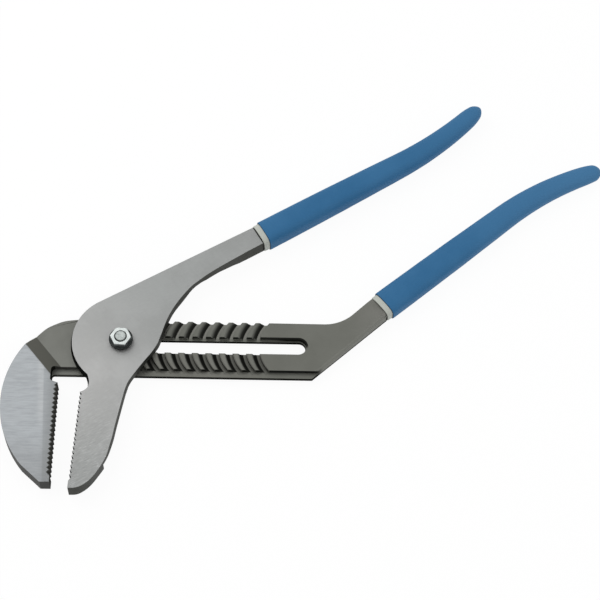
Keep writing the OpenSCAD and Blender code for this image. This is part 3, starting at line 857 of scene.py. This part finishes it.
def build_sleeve():
    """Closed sleeve along a straight and then evenly turning path, with a rounded mouth and end."""
    tree = bpy.data.node_groups.new("dipped_sleeve", "GeometryNodeTree")
    face = tree.interface
    face.new_socket("Geometry", in_out="INPUT", socket_type="NodeSocketGeometry")
    for label, default in SLEEVE_SIZES:
        face.new_socket(label, in_out="INPUT", socket_type=FLOAT).default_value = default
    for label, default in SLEEVE_COUNTS:
        face.new_socket(label, in_out="INPUT", socket_type="NodeSocketInt").default_value = default
    face.new_socket("Material", in_out="INPUT", socket_type="NodeSocketMaterial")
    face.new_socket("Geometry", in_out="OUTPUT", socket_type="NodeSocketGeometry")
    given = tree.nodes.new("NodeGroupInput").outputs

    def c(operation, *values, clamp=False):
        return calc(tree, operation, *values, clamp=clamp)

    def add(a, b):
        return c("ADD", a, b)

    def sub(a, b):
        return c("SUBTRACT", a, b)

    def mul(a, b):
        return c("MULTIPLY", a, b)

    def round_off(share):
        """Quarter circle: 1 at share 0, down to 0 at share 1."""
        return c("SQRT", c("MAXIMUM", sub(1.0, mul(share, share)), 0.0))

    grid = tree.nodes.new("GeometryNodeMeshGrid")
    feed(tree, grid.inputs["Vertices X"], given["Rings"])
    feed(tree, grid.inputs["Vertices Y"], given["Sides"])
    split = tree.nodes.new("ShaderNodeSeparateXYZ")
    feed(tree, split.inputs[0], grid.outputs["UV Map"])
    u, v = split.outputs[0], split.outputs[1]

    # Distance along the path, with rings close together at the mouth and at the end
    last = sub(given["Length"], given["Skin"])
    eased = mul(sub(1.0, c("COSINE", mul(u, math.pi))), 0.5)
    s = add(given["Start"], mul(eased, sub(last, given["Start"])))
    from_mouth = sub(s, given["Start"])

    # The path: straight from the mouth, then an arc, walked along its chord
    heading, straight = given["Heading"], given["Straight"]
    arc = sub(given["Length"], straight)
    bent = c("DIVIDE", mul(given["Turn"], c("MAXIMUM", sub(s, straight), 0.0)), arc)
    bend_radius = c("DIVIDE", arc, given["Turn"])
    chord = mul(mul(bend_radius, 2.0), c("SINE", mul(bent, 0.5)))
    run = c("MINIMUM", s, straight)
    middle = add(heading, mul(bent, 0.5))
    facing = add(heading, bent)
    px, py = [
        add(given[mouth], add(mul(run, c(wave, heading)), mul(chord, c(wave, middle))))
        for mouth, wave in (("Mouth X", "COSINE"), ("Mouth Y", "SINE"))]

    # Section: a rounded oblong that tapers, with a round lip and a slimmer round end
    share = c("DIVIDE", s, given["Length"])
    tapered = mul(share, share)
    end_from = mul(last, ROUND_END_FROM)
    end_at = c("DIVIDE", c("MAXIMUM", sub(s, end_from), 0.0), sub(last, end_from), clamp=True)
    slim_from = sub(last, TAPER_RUN)
    slim = c("DIVIDE", c("MAXIMUM", sub(s, slim_from), 0.0), TAPER_RUN, clamp=True)
    shrink = mul(round_off(end_at), sub(1.0, mul(given["End Taper"], mul(slim, slim))))
    shut = mul(shrink, c("GREATER_THAN", u, 1e-5))
    lip_at = sub(1.0, c("DIVIDE", from_mouth, given["Lip"], clamp=True))
    lip = mul(given["Lip"], sub(round_off(lip_at), 1.0))

    def half_size(full, end):
        size = sub(given[full], mul(tapered, sub(given[full], given[end])))
        return mul(shut, add(lip, sub(mul(0.5, size), given["Skin"])))

    halves = half_size("Width", "End Width"), half_size("Thickness", "End Thickness")
    square_change = sub(given["End Square"], given["Mouth Square"])
    power = c("DIVIDE", 2.0, add(given["Mouth Square"], mul(share, square_change)))
    around = mul(v, 2 * math.pi)
    side, up = [
        mul(half, mul(c("SIGN", wave), c("POWER", c("ABSOLUTE", wave), power)))
        for half, wave in zip(halves, (c("COSINE", around), c("SINE", around)))]
    point = tree.nodes.new("ShaderNodeCombineXYZ")
    feed(tree, point.inputs[0], add(px, mul(side, c("SINE", facing))))
    feed(tree, point.inputs[1], sub(py, mul(side, c("COSINE", facing))))
    feed(tree, point.inputs[2], add(mul(given["Thickness"], 0.5), up))
    place = tree.nodes.new("GeometryNodeSetPosition")
    feed(tree, place.inputs["Geometry"], grid.outputs["Mesh"])
    feed(tree, place.inputs["Position"], point.outputs[0])

    # The mouth is marked for the finish's painted shadow, and the seam and the poles are closed
    mark = tree.nodes.new("GeometryNodeStoreNamedAttribute")
    feed(tree, mark.inputs["Geometry"], place.outputs[0])
    mark.inputs["Name"].default_value = "mouth"
    in_mouth = c("LESS_THAN", mul(u, sub(given["Rings"], 1.0)), 1.5)
    on_lip = sub(1.0, c("DIVIDE", from_mouth, given["Shade"], clamp=True))
    feed(tree, mark.inputs["Value"], c("MAXIMUM", in_mouth, on_lip))
    weld = tree.nodes.new("GeometryNodeMergeByDistance")
    feed(tree, weld.inputs["Geometry"], mark.outputs[0])
    weld.inputs["Distance"].default_value = SLEEVE_WELD

    # The dip leaves the skin a little uneven
    where = tree.nodes.new("GeometryNodeInputPosition").outputs[0]
    swell = mul(sub(noise(tree, where, SWELL_SCALE, 2.0), 0.5), given["Unevenness"])
    push = tree.nodes.new("ShaderNodeVectorMath")
    push.operation = "SCALE"
    feed(tree, push.inputs[0], tree.nodes.new("GeometryNodeInputNormal").outputs[0])
    feed(tree, push.inputs["Scale"], swell)
    uneven = tree.nodes.new("GeometryNodeSetPosition")
    feed(tree, uneven.inputs["Geometry"], weld.outputs[0])
    feed(tree, uneven.inputs["Offset"], push.outputs[0])
    smooth = tree.nodes.new("GeometryNodeSetShadeSmooth")
    feed(tree, smooth.inputs["Geometry"], uneven.outputs[0])
    real = tree.nodes.new("GeometryNodeRealizeInstances")
    feed(tree, real.inputs["Geometry"], smooth.outputs[0])
    coat = tree.nodes.new("GeometryNodeSetMaterial")
    feed(tree, coat.inputs["Geometry"], real.outputs[0])
    feed(tree, coat.inputs["Material"], given["Material"])
    feed(tree, tree.nodes.new("NodeGroupOutput").inputs[0], coat.outputs[0])
    return tree


SLEEVE = build_sleeve()
SLEEVE_SOCKETS = {
    item.name: item.identifier for item in SLEEVE.interface.items_tree if item.in_out == "INPUT"}


def sleeve(node, body, slot, material, handle, **own):
    """One coat of a grip, made by the sleeve tree."""
    piece = bpy.data.objects.new(node + "_coat", bpy.data.meshes.new(node + "_coat"))
    bpy.context.scene.collection.objects.link(piece)
    form = piece.modifiers.new("sleeve", "NODES")
    form.node_group = SLEEVE
    for label, value in {**BOTH_HANDLES, **handle, **own, "Material": material}.items():
        form[SLEEVE_SOCKETS[label]] = value
    plain_mesh(piece)
    bm = bmesh.new()
    bm.from_mesh(piece.data)
    bmesh.ops.recalc_face_normals(bm, faces=bm.faces)
    bm.to_mesh(piece.data)
    bm.free()
    return dress(piece, body, slot, node)


for end, body, handle in (
        ("upper", "pivot_arm", UPPER_HANDLE), ("lower", "slotted_arm", LOWER_HANDLE)):
    sleeve(end + "_grip_liner", body, "liner_cream", CREAM, handle,
        Start=0.0, Skin=COAT, Lip=1.2 * MM, Rings=90, Sides=65)
    sleeve(end + "_grip", body, "grip_blue", BLUE, handle,
        Start=BAND, Skin=0.0, Lip=0.9 * MM, Shade=0.6 * MM, Unevenness=0.25 * MM,
        Rings=170, Sides=81)


# Studio

SEEN_WHITE = 1.04
FLOOR_HALF, FLOOR_GREY, FLOOR_WHITENED = 6.0, (0.9, 0.9, 0.9, 1), 0.9
WORLD_LIGHT, WORLD_WHITENED = 0.45, 1.0


def white_where_seen(tree, lit_shader, seen_share):
    """Mix a lit shader with plain white for camera, glossy and see-through rays."""
    path = tree.nodes.new("ShaderNodeLightPath").outputs
    seen = largest(tree,
        path["Is Camera Ray"], path["Is Glossy Ray"], path["Is Transmission Ray"])
    white = tree.nodes.new("ShaderNodeEmission")
    white.inputs["Strength"].default_value = SEEN_WHITE
    mix = tree.nodes.new("ShaderNodeMixShader")
    feed(tree, mix.inputs[0], product(tree, seen, seen_share))
    feed(tree, mix.inputs[1], lit_shader)
    feed(tree, mix.inputs[2], white.outputs[0])
    return mix.outputs[0]


def add_floor():
    """Pale floor that keeps a faint shadow."""
    mesh = bpy.data.meshes.new("studio_floor")
    corners = [(-1, -1), (1, -1), (1, 1), (-1, 1)]
    mesh.from_pydata([(FLOOR_HALF * x, FLOOR_HALF * y, 0) for x, y in corners], [], [(0, 1, 2, 3)])
    floor = bpy.data.objects.new("studio_floor", mesh)
    bpy.context.scene.collection.objects.link(floor)
    pale = bpy.data.materials.new("studio_floor")
    pale.use_nodes = True
    tree = pale.node_tree
    shader = tree.nodes["Principled BSDF"]
    shader.inputs["Base Color"].default_value = FLOOR_GREY
    shader.inputs["Roughness"].default_value = 0.9
    out = tree.nodes["Material Output"]
    feed(tree, out.inputs["Surface"], white_where_seen(tree, shader.outputs[0], FLOOR_WHITENED))
    mesh.materials.append(pale)


def add_world():
    world = bpy.data.worlds.new("studio")
    bpy.context.scene.world = world
    world.use_nodes = True
    tree = world.node_tree
    lit = tree.nodes["Background"]
    lit.inputs["Color"].default_value = (1, 1, 1, 1)
    lit.inputs["Strength"].default_value = WORLD_LIGHT
    out = tree.nodes["World Output"]
    feed(tree, out.inputs["Surface"], white_where_seen(tree, lit.outputs[0], WORLD_WHITENED))


def add_lamp(name, place, aim, size, power):
    lamp = bpy.data.lights.new(name, "AREA")
    lamp.size = size
    lamp.energy = power
    holder = bpy.data.objects.new(name, lamp)
    holder.location = place
    holder.rotation_euler = (Vector(aim) - Vector(place)).to_track_quat("-Z", "Y").to_euler()
    bpy.context.scene.collection.objects.link(holder)


def add_camera():
    lens = bpy.data.cameras.new("photo_view")
    lens.lens = 143.76
    lens.sensor_width = 36
    lens.clip_end = 50
    holder = bpy.data.objects.new("photo_view", lens)
    holder.location = (0.15362, -0.81521, 1.6910)
    holder.rotation_euler = (math.radians(27), 0, math.radians(1.019))
    bpy.context.scene.collection.objects.link(holder)
    bpy.context.scene.camera = holder


add_floor()
add_world()
add_lamp("key", place=(-0.9, 0.7, 1.3), aim=(0.1, 0.0, 0.0), size=1.5, power=9)
add_lamp("fill", place=(1.2, -0.3, 1.4), aim=(0.15, 0.05, 0.0), size=1.0, power=3)
add_camera()
bpy.context.scene.view_settings.view_transform = "Standard"
